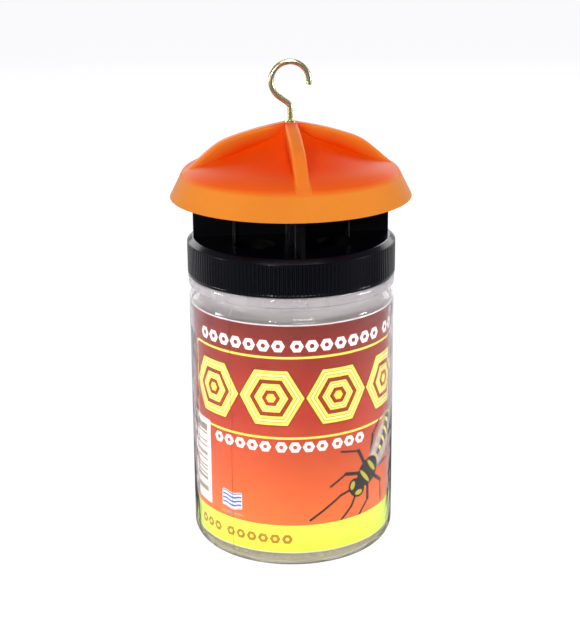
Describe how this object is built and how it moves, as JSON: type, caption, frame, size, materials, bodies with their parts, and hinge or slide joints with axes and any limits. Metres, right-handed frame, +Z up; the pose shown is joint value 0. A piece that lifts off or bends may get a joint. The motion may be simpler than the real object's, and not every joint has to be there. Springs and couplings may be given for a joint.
{
  "type": "wasp trap",
  "caption": "Hanging wasp trap: clear screw-top jar with a rolled printed sheet, ribbed black lid with crossed vanes and entrance cones, orange umbrella roof and a brass hook.",
  "frame": {"origin": "centre of the jar's foot, on the surface it stands on", "axes": "+Z up along the jar and the hook's shank, vanes along X and Y, front towards -Y, hook ring in the XZ plane"},
  "size_m": [0.1066, 0.1066, 0.2204],
  "materials": {
    "clear_plastic": "clear glossy PET",
    "printed_paper": "printed, satin",
    "liner_foam": "matte foam",
    "black_plastic": "semi-gloss moulded",
    "cone_plastic": "satin moulded",
    "vane_plastic": "semi-gloss moulded",
    "orange_plastic": "glossy moulded",
    "brass_plate": "bright plated"
  },
  "bodies": {
    "jar": {"jar": "clear_plastic", "label_sheet": "printed_paper"},
    "liner": {"liner": "liner_foam"},
    "lid": {"lid": "black_plastic", "vane_cross": "vane_plastic", "entrance_cone_1": "cone_plastic", "entrance_cone_2": "cone_plastic", "entrance_cone_3": "cone_plastic", "entrance_cone_4": "cone_plastic"},
    "roof": {"roof": "orange_plastic", "hook_collar": "brass_plate"},
    "hook": {"hook": "brass_plate"}
  },
  "joints": [
    {"name": "lid_rise", "type": "slide", "parent": "jar", "child": "liner", "axis": [0, 0, 1], "range_m": [0, 0.0156]},
    {"name": "lid_turn", "type": "hinge", "parent": "liner", "child": "lid", "pos_m": [0, 0, 0.135], "axis": [0, 0, 1], "range_deg": [0, 1098]},
    {"name": "roof_lift", "type": "slide", "parent": "lid", "child": "roof", "axis": [0, 0, 1], "range_m": [0, 0.01375]},
    {"name": "hook_turn", "type": "hinge", "parent": "roof", "child": "hook", "pos_m": [0, 0, 0.193], "axis": [0, 0, 1], "range_deg": [0, 3960]}
  ],
  "couplings": [
    {"joint": "lid_rise", "follows": "lid_turn", "m_per_rad": 0.00080851},
    {"joint": "hook_turn", "follows": "roof_lift", "rad_per_m": 5026.5}
  ]
}
